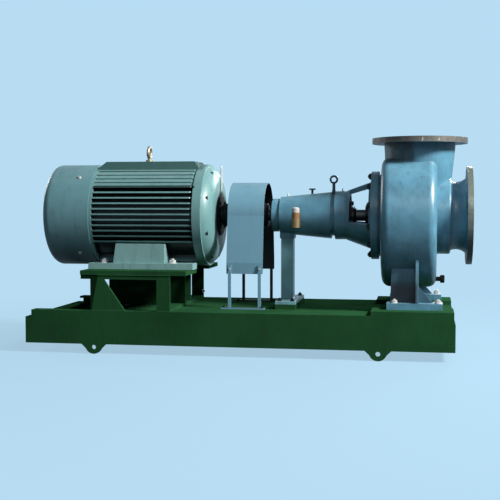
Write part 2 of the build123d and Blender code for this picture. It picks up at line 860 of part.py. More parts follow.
def pump_foot(side):
    """One foot of the casing: a sole with a cross rib, a gusset and a web behind them."""
    low = deck_z + pad_thickness
    top = low + pump_foot_thickness
    inner = side * pump_foot_inner_reach
    outer = side * pump_foot_outer_reach
    foot = block(pump_foot_start, pump_foot_end, min(inner, outer), max(inner, outer), low, top)
    half = pump_rib_thickness / 2
    rib = [(inner, top - 1), (outer, top - 1), (outer - side * pump_rib_lean, pump_rib_top),
           (inner, pump_rib_top)]
    foot += plate_along_x(rib, pump_rib_position - half, pump_rib_position + half)
    gusset = [(pump_rib_position, top - 1), (pump_rib_position + pump_gusset_length, top - 1),
              (pump_rib_position, top + pump_gusset_height)]
    y = (inner + outer) / 2
    foot += plate_along_y(gusset, y - half, y + half)
    web_top = -casing_cutwater_radius * 0.78
    web = [(pump_foot_start + pump_rib_thickness, top - 1), (pump_rib_position, top - 1),
           (pump_rib_position, web_top), (pump_foot_start + pump_rib_thickness * 1.5, web_top)]
    y = inner + side * pump_rib_thickness * 2
    return foot + plate_along_y(web, y - half, y + half)


def suction_cover():
    """The plate, flared neck and flange that close the suction side."""
    neck_root = suction_neck_radius + 6
    neck_waist_x = suction_cylinder_end + suction_neck_length * 0.45
    neck_head = suction_bore_radius + 24
    outline = Polyline((suction_joint, suction_eye_radius), (suction_joint, suction_cylinder_radius),
                       (suction_cylinder_end, suction_cylinder_radius), (suction_cylinder_end, neck_root))
    outline += ThreePointArc((suction_cylinder_end, neck_root), (neck_waist_x, suction_neck_radius),
                             (suction_flange_back, neck_head))
    outline += Polyline((suction_flange_back, neck_head), (suction_flange_back, suction_flange_radius),
                        (suction_face, suction_flange_radius), (suction_face, suction_bore_radius),
                        (suction_flange_back, suction_bore_radius), (suction_joint, suction_eye_radius))
    body = revolve(make_face(outline), Axis.X)
    rim = body.edges().filter_by(GeomType.CIRCLE)
    rim = [e for e in rim if abs(e.radius - suction_cylinder_radius) < 0.01
           and abs(e.center().X - suction_cylinder_end) < 0.01]
    body = fillet(rim, suction_cover_plate * 0.4)
    hole = rod_x(suction_bolt_hole, suction_flange_back - 30, suction_face + 1,
                 z=suction_bolt_circle_radius)
    return body - ring_of(hole, suction_bolt_count, 180 / suction_bolt_count)


# Turning pieces of the pump

def pump_shaft():
    return rod_x(pump_shaft_radius, coupling_gap / 2, casing_right - casing_wall * 2)


def impeller():
    """An open wheel: a sloping hub with curved blades between the cover and the eye."""
    bore = pump_shaft_radius
    back = casing_left + casing_wall + impeller_clearance
    front = casing_right - casing_wall - impeller_clearance
    rim = impeller_tip_radius * 0.8
    nose = front - impeller_nose_length
    hub = turned((back, bore), (nose, bore), (nose + impeller_nose_length / 4, impeller_hub_radius * 0.8),
                 (nose - impeller_nose_length / 2, impeller_hub_radius),
                 (back + impeller_hub_slope, rim), (back, rim))
    eye = suction_eye_radius - impeller_clearance
    root = back + impeller_hub_slope * 0.4
    swept = turned((root, bore), (nose, bore), (front, eye),
                   ((back + front) / 2, impeller_tip_radius), (root, impeller_tip_radius))
    curve = impeller_tip_radius * 0.54
    outer_arc = CenterArc((0, curve), curve, -90, impeller_blade_turn)
    inner_arc = CenterArc((0, curve), curve - impeller_blade_thickness, -90, impeller_blade_turn)
    caps = Line(outer_arc @ 0, inner_arc @ 0) + Line(outer_arc @ 1, inner_arc @ 1)
    blade = Pos(back, 0, 0) * extrude(Plane.YZ * make_face(outer_arc + inner_arc + caps),
                                      amount=front - back)
    wheel = hub
    for one in ring_of(blade, impeller_blade_count):
        wheel += one & swept
    return wheel - rod_x(bore, back - 1, front)


stand_outer_rib = -stand_near_y - stand_wall * 1.5
right_ribs = (-stand_rib_offset, stand_rib_offset)
left_ribs = (-stand_outer_rib, -stand_rib_offset, stand_rib_offset, stand_outer_rib)

pieces = {
    "side_rail_near": side_rail(),
    "side_rail_far": far_copy(side_rail()),
    "end_member_left": end_member(left_end, 1, end_left_overhang),
    "end_member_right": end_member(rail_right_reach + end_right_overhang, -1, end_right_overhang),
    "cross_members": cross_members(),
    "deck_plate": deck_plate(),
    "pump_pads": both_sides(pump_pad()),
    "stand_side_near": stand_side(),
    "stand_side_far": far_copy(stand_side()),
    "stand_end_left": stand_end(-stand_left_reach, left_ribs),
    "stand_end_right": stand_end(-stand_right_reach - stand_post_width, right_ribs),
    "stand_webs": both_sides(stand_web()),
    "stand_tops": both_sides(stand_top()),
    "motor_frame": motor_frame(),
    "motor_feet": both_sides(motor_foot()),
    "fan_cover": fan_cover(),
    "motor_fan": motor_fan(),
    "motor_shaft": motor_shaft(),
    "rear_shield": rear_shield(),
    "drive_shield": drive_shield(),
    "drive_cap": drive_cap(),
    "terminal_box": terminal_box(),
    "terminal_lid": terminal_lid(),
    "motor_eye_bolt": motor_eye_bolt(),
    "coupling_half_motor": coupling_half(-coupling_gap / 2, -1, motor_hub_length, motor_shaft_radius),
    "coupling_half_pump": coupling_half(coupling_gap / 2, 1, pump_hub_length, pump_shaft_radius),
    "coupling_pins": coupling_pins(),
    "coupling_guard": coupling_guard(),
    "guard_legs": both_sides(guard_legs()),
    "bearing_housing": bearing_housing(),
    "end_cap": end_cap(),
    "bearing_cover": bearing_cover(),
    "housing_eye_bolt": housing_eye_bolt(),
    "breather_plug": breather_plug(),
    "oil_level_cup": oil_level_cup(),
    "oil_level_glass": oil_level_glass(),
    "support_post": support_post(),
    "pedestal": pedestal(),
    "lantern": lantern(),
    "casing_cover": casing_cover(),
    "shaft_gland": shaft_gland(),
    "volute_casing": volute_casing(),
    "suction_cover": suction_cover(),
    "pump_shaft": pump_shaft(),
    "impeller": impeller(),
}

os.makedirs("parts", exist_ok=True)
for name, piece in pieces.items():
    export_step(Pos(-middle_x, 0, -floor_z) * piece, f"parts/{name}.step")
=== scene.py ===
import math

import bmesh
import bpy
from mathutils import Matrix, Vector


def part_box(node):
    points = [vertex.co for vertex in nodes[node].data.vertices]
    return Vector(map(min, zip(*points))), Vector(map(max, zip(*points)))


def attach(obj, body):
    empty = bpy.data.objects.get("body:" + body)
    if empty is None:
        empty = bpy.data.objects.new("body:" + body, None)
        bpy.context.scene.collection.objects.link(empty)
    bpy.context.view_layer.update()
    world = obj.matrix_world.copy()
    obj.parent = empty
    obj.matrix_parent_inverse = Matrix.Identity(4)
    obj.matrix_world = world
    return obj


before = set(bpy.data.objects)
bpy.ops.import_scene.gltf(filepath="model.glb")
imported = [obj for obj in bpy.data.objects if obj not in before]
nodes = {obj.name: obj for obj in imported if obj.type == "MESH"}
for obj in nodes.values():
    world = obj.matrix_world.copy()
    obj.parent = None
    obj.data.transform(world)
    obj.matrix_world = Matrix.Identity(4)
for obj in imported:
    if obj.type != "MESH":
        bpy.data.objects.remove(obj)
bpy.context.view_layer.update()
print("stage: frame loaded")

fixedBody = "pump_set"
turningBody = "rotor"


def low(node):
    return Vector(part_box(node)[0])


def high(node):
    return Vector(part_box(node)[1])


def middle(node):
    return (low(node) + high(node)) / 2


axisZ = middle("pump_shaft").z
# the backdrop's colour, and the share of it that glossy rays see
paleColour = (0.479, 0.723, 0.896, 1)
glossShare = 0.4


# A socket that can be added, multiplied and compared like a number
class Wire:
    def __init__(self, board, socket):
        self.board = board
        self.socket = socket

    def reckon(self, operation, first, second=0.0):
        return self.board.add("ShaderNodeMath", {"operation": operation}, {0: first, 1: second})

    def __add__(self, other):
        return self.reckon("ADD", self, other)

    def __radd__(self, other):
        return self.reckon("ADD", other, self)

    def __sub__(self, other):
        return self.reckon("SUBTRACT", self, other)

    def __rsub__(self, other):
        return self.reckon("SUBTRACT", other, self)

    def __mul__(self, other):
        return self.reckon("MULTIPLY", self, other)

    def __truediv__(self, other):
        return self.reckon("DIVIDE", self, other)

    def __pow__(self, other):
        return self.reckon("POWER", self, other)

    def __gt__(self, other):
        return self.reckon("GREATER_THAN", self, other)

    def __lt__(self, other):
        return self.reckon("LESS_THAN", self, other)

    def sine(self):
        return self.reckon("SINE", self)

    def cosine(self):
        return self.reckon("COSINE", self)

    def limited(self):
        return self.board.add("ShaderNodeClamp", {}, {0: self})

    def ramp(self, start, end):
        # 0 at start, 1 at end, straight between
        return self.board.add("ShaderNodeMapRange", {"clamp": True}, {0: self, 1: start, 2: end})


# A node tree that takes each node with its settings and inputs in one call
class Board:
    def __init__(self, tree):
        self.tree = tree
        tree.nodes.clear()

    def add(self, kind, settings=None, values=None, out=0):
        node = self.tree.nodes.new(kind)
        for key, value in (settings or {}).items():
            setattr(node, key, value)
        for key, value in (values or {}).items():
            # a list goes into an input that takes several links
            for item in value if isinstance(value, list) else [value]:
                if isinstance(item, Wire):
                    self.tree.links.new(item.socket, node.inputs[key])
                else:
                    node.inputs[key].default_value = item
        return Wire(self, node.outputs[out])

    def end(self, kind, wire):
        self.tree.links.new(wire.socket, self.tree.nodes.new(kind).inputs[0])

    def seenShare(self):
        # 1 for the eye and through glass, less in reflections, 0 for plain light
        eye, gloss, through = [self.add("ShaderNodeLightPath", out=ray)
                               for ray in ("Is Camera Ray", "Is Glossy Ray", "Is Transmission Ray")]
        return (eye + gloss * glossShare + through).limited()


# One material's node tree
class Sheet(Board):
    def __init__(self, name):
        self.material = bpy.data.materials.new(name)
        self.material.use_nodes = True
        super().__init__(self.material.node_tree)

    def noise(self, scale, detail=3.0, rough=0.5, stretch=(1, 1, 1)):
        spot = self.add("ShaderNodeTexCoord", out="Object")
        place = self.add("ShaderNodeMapping", {}, {"Vector": spot, "Scale": stretch})
        return self.add("ShaderNodeTexNoise", {}, {
            "Vector": place, "Scale": scale, "Detail": detail, "Roughness": rough})

    def split(self, wire):
        node = self.tree.nodes.new("ShaderNodeSeparateXYZ")
        self.tree.links.new(wire.socket, node.inputs[0])
        return [Wire(self, socket) for socket in node.outputs]

    def axes(self):
        return self.split(self.add("ShaderNodeTexCoord", out="Object"))

    def normal(self):
        return self.split(self.add("ShaderNodeNewGeometry", out="Normal"))

    def blend(self, share, first, second):
        return self.add("ShaderNodeMix", {"data_type": "RGBA"}, {0: share, 6: first, 7: second}, out=2)

    def mixShaders(self, share, first, second):
        return self.add("ShaderNodeMixShader", {}, {0: share, 1: first, 2: second})

    def finish(self, values):
        self.end("ShaderNodeOutputMaterial", self.add("ShaderNodeBsdfPrincipled", {}, values))
        return self.material


def shade(colour, factor=1.0):
    return (colour[0] * factor, colour[1] * factor, colour[2] * factor, 1)


# Layers that only some paints have: each gives back the colour with the layer on it
def shadeInside(sheet, look, mixed):
    # painted shade: the side turned to the shaft is darkened to black
    x, y, z = sheet.axes()
    sideways, upward = sheet.normal()[1:]
    inward = (sideways * y + upward * (z - axisZ)) < 0
    return sheet.blend(inward, mixed, shade(look["shadeInside"]))


def shadeBelow(sheet, look, mixed):
    # painted shade: the low side of round bodies is darkened, with a ragged edge
    paintedShade = look["shadeBelow"]
    z = sheet.axes()[2]
    raggedness = 0.05
    ragged = z + sheet.noise(7.0, 4.0, 0.6) * raggedness
    dark = 1 - ragged.ramp(paintedShade["to"] + raggedness / 2, paintedShade["from"] + raggedness / 2)
    dark = dark * (z > paintedShade.get("above", 0.0))
    return sheet.blend(dark * paintedShade["share"], mixed, shade(look["colour"], 0.12))


def shadeAtFoot(sheet, look, mixed):
    # painted shade: the web on the coupling side of the pump's feet is darkened, where the foot's rib shades
    # it
    paintedShade = look["shadeAtFoot"]
    x, y, z = sheet.axes()
    corner = (x < paintedShade["x"]) * (1 - z.ramp(paintedShade["z"] - paintedShade["fade"], paintedShade["z"] + paintedShade["fade"]))
    corner = corner * (y * y > paintedShade["y"] ** 2) * (z > paintedShade["sole"])
    return sheet.blend(corner * paintedShade["share"], mixed, shade(paintedShade["colour"]))


def shadeOnNeck(sheet, look, mixed):
    # painted shade: the coupling side of the discharge neck is darkened
    spot = look["shadeOnNeck"]
    x, y, z = sheet.axes()
    stainAndShade = (1 - x.ramp(spot["x"] - 0.012, spot["x"] + 0.006)) * (1 - y.ramp(-0.03, 0.03))
    stainAndShade = stainAndShade * z.ramp(spot["low"] - 0.01, spot["low"] + 0.02)
    stainAndShade = stainAndShade * (1 - sheet.noise(20.0, 4.0, 0.6).ramp(0.45, 0.8) * 0.5)
    return sheet.blend(stainAndShade * spot["share"], mixed, shade(spot["colour"]))


def shadeInFins(sheet, look, mixed):
    # painted shade: the bottom of the side gaps is darkened to black; painted light: the bottom of the upper
    # gaps is made pale, as if lit
    fins = look["shadeInFins"]
    x, y, z = sheet.axes()
    rise = z - axisZ
    reach = (y * y + rise * rise) ** 0.5
    deep = 1 - reach.ramp(*fins["root"])
    upper = rise.ramp(*fins["upperGaps"])
    mixed = sheet.blend(deep * (1 - upper * 0.9), mixed, shade(look["colour"], 0.03))
    mixed = sheet.blend(deep * upper * 0.7, mixed, shade(fins["dustAndLight"]))
    # painted shade: one dark line between the two kinds of gap, and a darker crown on top
    line = (rise > fins["line"][0]) * (rise < fins["line"][1])
    line = line * (x > fins["left"]) * (x < fins["right"])
    mixed = sheet.blend(line * 0.9, mixed, shade(look["colour"], 0.05))
    return sheet.blend(rise.ramp(*fins["crown"]) * 0.75, mixed, shade(fins["crownColour"]))


layers = {"shadeInside": shadeInside, "shadeBelow": shadeBelow, "shadeAtFoot": shadeAtFoot,
          "shadeOnNeck": shadeOnNeck, "shadeInFins": shadeInFins}


# Machined faces of a flange, left without paint
def addBareMetal(sheet, bare, values):
    x, y, z = sheet.axes()
    along, second = (x, z - axisZ) if bare["axis"] == "x" else (z, x - bare["centre"])
    reach = (y * y + second * second) ** 0.5
    mask = (along > bare["from"]) * (reach > bare["inside"])
    lathe = sheet.add("ShaderNodeTexNoise", {"noise_dimensions": "1D"}, {
        "W": reach * 900.0 + along * 500.0, "Scale": 1.0, "Detail": 2.0})
    stainAndShade = sheet.noise(16.0, 5.0, 0.7).ramp(0.35, 0.7)
    metal = sheet.blend(stainAndShade, shade(bare["colour"]), shade(bare["stainAndShade"]))
    metal = sheet.blend(lathe.ramp(0.35, 0.65) * 0.35, metal, shade(bare["colour"], 0.55))
    scuffs = sheet.noise(38.0, 3.0, 0.6, (1, 1, 0.6)).ramp(0.66, 0.72)
    metal = sheet.blend(scuffs * 0.8, metal, shade(bare["scuff"]))
    # painted shade: the lower part of the bare flange face is darkened to black
    if "paintedShade" in bare:
        metal = sheet.blend((1 - z.ramp(*bare["paintedShade"])) * 0.85, metal, (0.012, 0.012, 0.012, 1))
    painted = 1 - mask
    bareRoughness = 0.32 + stainAndShade * 0.3
    values["Base Color"] = sheet.blend(mask, values["Base Color"], metal)
    values["Metallic"] = mask * (0.6 - stainAndShade * 0.4)
    values["Roughness"] = (values["Roughness"] * painted + mask * bareRoughness).limited()
    values["Coat Weight"] = painted * 0.15


def paintFinish(name, look):
    sheet = Sheet(name)
    colour = look["colour"]
    tone = sheet.noise(look.get("toneScale", 4.0), 4.0, 0.6)
    mixed = sheet.blend(tone.ramp(0.35, 0.7), shade(colour), shade(colour, look.get("toneDark", 0.82)))
    # dry runs of grime that hang down from edges
    runs = sheet.noise(9.0, 5.0, 0.65, (3.5, 3.5, 0.5)).ramp(0.52, 0.8) * look.get("grime", 0.35)
    mixed = sheet.blend(runs, mixed, shade(look.get("grimeColour", (0.02, 0.03, 0.03))))
    # pale dust that settles on what faces up
    upward = sheet.normal()[2]
    dustAndLight = upward.ramp(0.55, 1.0) * sheet.noise(14.0, 6.0, 0.7).ramp(0.3, 0.75)
    dustColour = look.get("dustColour", (0.42, 0.47, 0.45))
    mixed = sheet.blend(dustAndLight * look.get("dustAndLight", 0.18), mixed, shade(dustColour))
    for title, layer in layers.items():
        if title in look:
            mixed = layer(sheet, look, mixed)
    chips = sheet.noise(55.0, 2.0, 0.5).ramp(0.735, 0.75) * look.get("chips", 0.6)
    mixed = sheet.blend(chips, mixed, shade(look.get("chipColour", (0.10, 0.10, 0.095))))
    roughness = look.get("roughness", 0.42) + tone * 0.12 + dustAndLight * 0.25
    grain = sheet.noise(260.0, 3.0, 0.55)
    swell = sheet.noise(26.0, 2.0, 0.5)
    height = grain * look.get("grain", 0.5) + swell * 0.6 - chips * 0.5
    bump = sheet.add("ShaderNodeBump", {}, {
        "Strength": look.get("bump", 0.16), "Distance": 0.002, "Height": height})
    values = {"Base Color": mixed, "Roughness": roughness.limited(), "Normal": bump,
              "Specular IOR Level": look.get("gloss", 0.4), "Coat Weight": look.get("coat", 0.15),
              "Coat Roughness": 0.25}
    if "bare" in look:
        addBareMetal(sheet, look["bare"], values)
    return sheet.finish(values)


def steelFinish(name, look):
    sheet = Sheet(name)
    colour = look["colour"]
    lines = sheet.noise(90.0, 2.0, 0.5, look.get("stretch", (2, 2, 2)))
    stainAndShade = sheet.noise(22.0, 5.0, 0.7).ramp(0.42, 0.75)
    mixed = sheet.blend(lines.ramp(0.3, 0.7), shade(colour), shade(colour, 0.7))
    mixed = sheet.blend(stainAndShade * look.get("stainAndShade", 0.3), mixed, (0.12, 0.08, 0.05, 1))
    bump = sheet.add("ShaderNodeBump", {}, {"Strength": 0.08, "Distance": 0.001, "Height": lines})
    return sheet.finish({
        "Base Color": mixed, "Metallic": look.get("metallic", 0.9), "Normal": bump,
        "Roughness": (look.get("roughness", 0.34) + stainAndShade * 0.25 + lines * 0.1).limited()})


def glassFinish(name, look):
    sheet = Sheet(name)
    z = sheet.axes()[2]
    oil = 1 - z.ramp(look["level"] - 0.002, look["level"] + 0.002)
    mixed = sheet.blend(oil, shade(look["clear"]), shade(look["oil"]))
    return sheet.finish({"Base Color": mixed, "Roughness": 0.08, "Transmission Weight": 0.35,
                         "IOR": 1.45, "Coat Weight": 0.6, "Coat Roughness": 0.05})


pumpBlue = {"colour": (0.088, 0.238, 0.335), "toneDark": 0.66, "toneScale": 9.0, "grain": 1.0, "bump": 0.3,
            "roughness": 0.30, "gloss": 0.5, "coat": 0.3, "grimeColour": (0.012, 0.03, 0.04), "grime": 0.45}
motorGreen = {"colour": (0.125, 0.262, 0.268), "toneDark": 0.86, "grain": 0.7, "bump": 0.2,
              "roughness": 0.40, "coat": 0.2}
flangeBare = 0.0275
dischargeBare = {"axis": "z", "from": high("volute_casing").z - flangeBare, "inside": 0.183,
                 "centre": middle("volute_casing").x, "colour": (0.20, 0.19, 0.17),
                 "stainAndShade": (0.045, 0.035, 0.028), "scuff": (0.72, 0.74, 0.70)}
suctionBare = {"axis": "x", "from": high("suction_cover").x - flangeBare, "inside": 0.201,
               # painted shade: the bare flange face is darkened below these heights
               "paintedShade": (0.56, 0.66), "colour": (0.22, 0.24, 0.20),
               "stainAndShade": (0.05, 0.065, 0.05), "scuff": (0.66, 0.70, 0.66)}
pumpSole = 0.277

paints = {
    "baseGreen": {
        "colour": (0.0165, 0.073, 0.0280), "toneDark": 0.75, "dustAndLight": 0.05, "roughness": 0.6, "gloss": 0.0,
        "dustColour": (0.06, 0.12, 0.07), "grime": 0.4, "grain": 0.3, "chips": 0.4,
        "chipColour": (0.05, 0.07, 0.055), "coat": 0.0},
    "motorGreen": motorGreen,
    "feetGreen": {**motorGreen, "colour": (0.185, 0.350, 0.350), "grain": 0.4},
    # painted shade at the roots, on one line and on the crown of the fins; painted light in the upper gaps
    "motorFins": {**motorGreen, "shadeInFins": {
        "root": (0.243, 0.264), "upperGaps": (0.150, 0.165), "dustAndLight": (0.42, 0.58, 0.56),
        "line": (0.141, 0.154), "left": low("motor_frame").x + 0.014, "right": high("motor_frame").x - 0.020,
        "crown": (0.236, 0.244), "crownColour": (0.028, 0.085, 0.075)}},
    "coverGreen": {
        **motorGreen, "colour": (0.108, 0.240, 0.272), "grain": 0.25,
        "shadeBelow": {"from": 0.56, "to": 0.44, "share": 0.85}},
    "pumpBlue": pumpBlue,
    # painted light: a lighter copy of the pump blue on the support post, which lies in the shade of the
    # casing
    "postBlue": {**pumpBlue, "colour": (0.175, 0.385, 0.440), "grime": 0.2},
    "pumpDark": {**pumpBlue, "colour": (0.030, 0.070, 0.090)},
    "casingBlue": {
        **pumpBlue, "bare": dischargeBare,
        # painted shade: the low side, the web by the foot and the coupling side of the neck are darkened
        "shadeBelow": {"from": 0.52, "to": 0.36, "share": 0.6, "above": pumpSole},
        "shadeAtFoot": {"x": 0.862, "y": 0.21, "z": 0.370, "fade": 0.015, "sole": pumpSole, "share": 0.8,
                       "colour": (0.012, 0.011, 0.012)},
        "shadeOnNeck": {"x": 0.846, "low": 0.975, "share": 0.8, "colour": (0.016, 0.018, 0.016)}},
    "suctionBlue": {
        **pumpBlue, "bare": suctionBare, "shadeBelow": {"from": 0.66, "to": 0.52, "share": 0.5}},
    "guardBlue": {
        "shadeInside": (0.010, 0.010, 0.012), "colour": (0.128, 0.272, 0.360), "toneDark": 0.92,
        "gloss": 0.3, "grain": 0.1, "bump": 0.08, "grime": 0.15, "roughness": 0.38, "chips": 0.3},
    "blackPaint": {
        "colour": (0.006, 0.007, 0.009), "dustAndLight": 0.05, "grime": 0.1, "roughness": 0.5, "gloss": 0.2,
        "coat": 0.0, "chipColour": (0.05, 0.05, 0.05)},
}
steels = {
    "shaftSteel": {"colour": (0.10, 0.10, 0.105), "stretch": (30, 1, 1)},
    "zincSteel": {"colour": (0.68, 0.69, 0.66), "stainAndShade": 0.2, "roughness": 0.35, "metallic": 0.45},
    "darkSteel": {"colour": (0.035, 0.037, 0.04), "stainAndShade": 0.2, "roughness": 0.4},
    "castMetal": {"colour": (0.20, 0.19, 0.17), "roughness": 0.5, "metallic": 0.7},
    "brass": {"colour": (0.33, 0.24, 0.12), "stainAndShade": 0.5, "roughness": 0.4},
    "eyeBoltSteel": {"colour": (0.52, 0.47, 0.36), "stainAndShade": 0.45, "roughness": 0.38},
}
finishes = {title: paintFinish(title, look) for title, look in paints.items()}
finishes.update({title: steelFinish(title, look) for title, look in steels.items()})
finishes["oilGlass"] = glassFinish("oilGlass", {
    "level": high("oil_level_glass").z - 0.028, "clear": (0.62, 0.60, 0.58), "oil": (0.34, 0.17, 0.055)})

nodesOf = {
    "baseGreen": ("side_rail_near", "side_rail_far", "end_member_left", "end_member_right", "cross_members",
                  "deck_plate", "pump_pads", "stand_side_near", "stand_side_far", "stand_end_left",
                  "stand_end_right", "stand_tops", "stand_webs", "pedestal"),
    "motorFins": ("motor_frame",),
    "feetGreen": ("motor_feet",),
    "coverGreen": ("fan_cover",),
    "motorGreen": ("rear_shield", "drive_shield", "terminal_box", "terminal_lid"),
    "blackPaint": ("motor_fan", "drive_cap", "coupling_half_motor", "coupling_half_pump", "bearing_cover"),
    "shaftSteel": ("motor_shaft", "pump_shaft", "coupling_pins"),
    "eyeBoltSteel": ("motor_eye_bolt",),
    "guardBlue": ("coupling_guard", "guard_legs"),
    "pumpBlue": ("bearing_housing", "end_cap", "lantern", "casing_cover"),
    "pumpDark": ("housing_eye_bolt",),
    "postBlue": ("support_post",),
    "casingBlue": ("volute_casing",),
    "suctionBlue": ("suction_cover",),
    "castMetal": ("impeller",),
    "darkSteel": ("breather_plug", "shaft_gland"),
    "brass": ("oil_level_cup",),
    "oilGlass": ("oil_level_glass",),
}
for title, nodeNames in nodesOf.items():
    for nodeName in nodeNames:
        nodes[nodeName].data.materials.clear()
        nodes[nodeName].data.materials.append(finishes[title])
print("stage: finishes on the frame's nodes")


# A Geometry Nodes tree with named inputs, which ends on real geometry in its finish
class Growth(Board):
    def __init__(self, name, inputs):
        super().__init__(bpy.data.node_groups.new(name, "GeometryNodeTree"))
        self.addSocket("Geometry", "OUTPUT", "Geometry")
        for title, kind in inputs.items():
            self.addSocket(title, "INPUT", kind)
        self.source = self.tree.nodes.new("NodeGroupInput")

    def addSocket(self, title, side, kind):
        self.tree.interface.new_socket(title, in_out=side, socket_type="NodeSocket" + kind)

    def given(self, title):
        return Wire(self, self.source.outputs[title])

    def swept(self, curve, sides, radius):
        section = self.add("GeometryNodeCurvePrimitiveCircle", {}, {"Resolution": sides, "Radius": radius})
        return self.add("GeometryNodeCurveToMesh", {}, {
            "Curve": curve, "Profile Curve": section, "Fill Caps": True})

    def finish(self, shape):
        real = self.add("GeometryNodeRealizeInstances", {}, {0: shape})
        dressed = self.add("GeometryNodeSetMaterial", {}, {
            "Geometry": real, "Material": self.given("Finish")})
        self.end("NodeGroupOutput", dressed)
        return self.tree


# A ring of hexagon bolts with washers, in the XY plane, heads towards +Z
def boltRingTree():
    board = Growth("boltRing", {
        "Count": "Int", "Ring Radius": "Float", "Head Radius": "Float", "Head Height": "Float",
        "Washer Radius": "Float", "Stud Length": "Float", "Finish": "Material"})

    def rod(sides, radius, length, base):
        part = board.add("GeometryNodeMeshCylinder", {}, {
            "Vertices": sides, "Radius": radius, "Depth": length}, out="Mesh")
        lift = board.add("ShaderNodeCombineXYZ", {}, {2: length * 0.5 + base})
        return board.add("GeometryNodeTransform", {}, {"Geometry": part, "Translation": lift})

    count = board.given("Count")
    headRadius = board.given("Head Radius")
    headHeight = board.given("Head Height")
    ringRadius = board.given("Ring Radius")
    washerHeight = headHeight * 0.25
    bolt = board.add("GeometryNodeJoinGeometry", {}, {0: [
        rod(20, board.given("Washer Radius"), washerHeight, 0.0),
        rod(6, headRadius, headHeight, washerHeight),
        rod(12, headRadius * 0.5, board.given("Stud Length"), washerHeight)]})
    angle = board.add("GeometryNodeInputIndex") / count * math.tau
    spot = board.add("ShaderNodeCombineXYZ", {}, {
        0: angle.cosine() * ringRadius, 1: angle.sine() * ringRadius})
    ring = board.add("GeometryNodePoints", {}, {"Count": count, "Position": spot})
    return board.finish(board.add("GeometryNodeInstanceOnPoints", {}, {"Points": ring, "Instance": bolt}))


# A weld bead from point to point, with the ripples of its run
def weldTree():
    board = Growth("weldBead", {
        "Start": "Vector", "End": "Vector", "Radius": "Float", "Ripples": "Int", "Finish": "Material"})
    line = board.add("GeometryNodeCurvePrimitiveLine", {}, {
        "Start": board.given("Start"), "End": board.given("End")})
    cut = board.add("GeometryNodeResampleCurve", {}, {"Curve": line, "Count": board.given("Ripples")})
    size = (board.add("GeometryNodeInputIndex") * 2.1).sine() * 0.14 + 0.95
    thick = board.add("GeometryNodeSetCurveRadius", {}, {"Curve": cut, "Radius": size})
    return board.finish(board.swept(thick, 6, board.given("Radius")))


# A round piece of woven wire mesh in the XY plane
def wireMeshTree():
    board = Growth("wireMesh", {
        "Width": "Float", "Lines": "Int", "Reach": "Float", "Wire Radius": "Float", "Finish": "Material"})
    width = board.given("Width")
    lines = board.given("Lines")
    grid = board.add("GeometryNodeMeshGrid", {}, {
        "Size X": width, "Size Y": width, "Vertices X": lines, "Vertices Y": lines}, out="Mesh")
    distance = board.add("ShaderNodeVectorMath", {"operation": "LENGTH"}, {
        0: board.add("GeometryNodeInputPosition")}, out="Value")
    trimmed = board.add("GeometryNodeDeleteGeometry", {"domain": "POINT"}, {
        "Geometry": grid, "Selection": distance > board.given("Reach")})
    threads = board.add("GeometryNodeMeshToCurve", {}, {"Mesh": trimmed})
    return board.finish(board.swept(threads, 4, board.given("Wire Radius")))


def inScene(name, data):
    # a new object of this data, put into the scene
    thing = bpy.data.objects.new(name, data)
    bpy.context.scene.collection.objects.link(thing)
    return thing


def grown(tree, settings):
    # runs a tree on an empty mesh and gives back the plain mesh
    seed = inScene("seed", bpy.data.meshes.new("seed"))
    modifier = seed.modifiers.new("grow", "NODES")
    modifier.node_group = tree
    for socket in tree.interface.items_tree:
        if socket.in_out == "INPUT":
            modifier[socket.identifier] = settings[socket.name]
    bpy.context.view_layer.update()
    evaluated = seed.evaluated_get(bpy.context.evaluated_depsgraph_get())
    mesh = bpy.data.meshes.new_from_object(evaluated)
    seed.modifiers.remove(modifier)
    bpy.data.objects.remove(seed)
    mesh.materials.clear()
    mesh.materials.append(settings["Finish"])
    return mesh


def facing(axis):
    return Vector(axis).to_track_quat("Z", "Y").to_matrix().to_4x4()


def joined(name, meshes, body, smooth=False):
    # several meshes that are already in place become one piece
    whole = bmesh.new()
    for mesh in meshes:
        whole.from_mesh(mesh)
    merged = bpy.data.meshes.new(name)
    whole.to_mesh(merged)
    whole.free()
    merged.materials.append(meshes[0].materials[0])
    for face in merged.polygons:
        face.use_smooth = smooth
        face.material_index = 0
    piece = inScene(name, merged)
    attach(piece, body)


ringTree = boltRingTree()
beadTree = weldTree()


def boltMesh(spec):
    head = spec["head"]
    mesh = grown(ringTree, {
        "Count": spec["count"], "Ring Radius": spec.get("ring", 0.0), "Head Radius": head,
        "Head Height": head * 0.75, "Washer Radius": head * 1.18,
        "Stud Length": head * spec.get("stud", 0.75), "Finish": finishes[spec["finish"]]})
    turn = Matrix.Rotation(math.radians(spec.get("start", 0.0)), 4, "Z")
    mesh.transform(Matrix.Translation(spec["at"]) @ facing(spec["axis"]) @ turn)
    return mesh


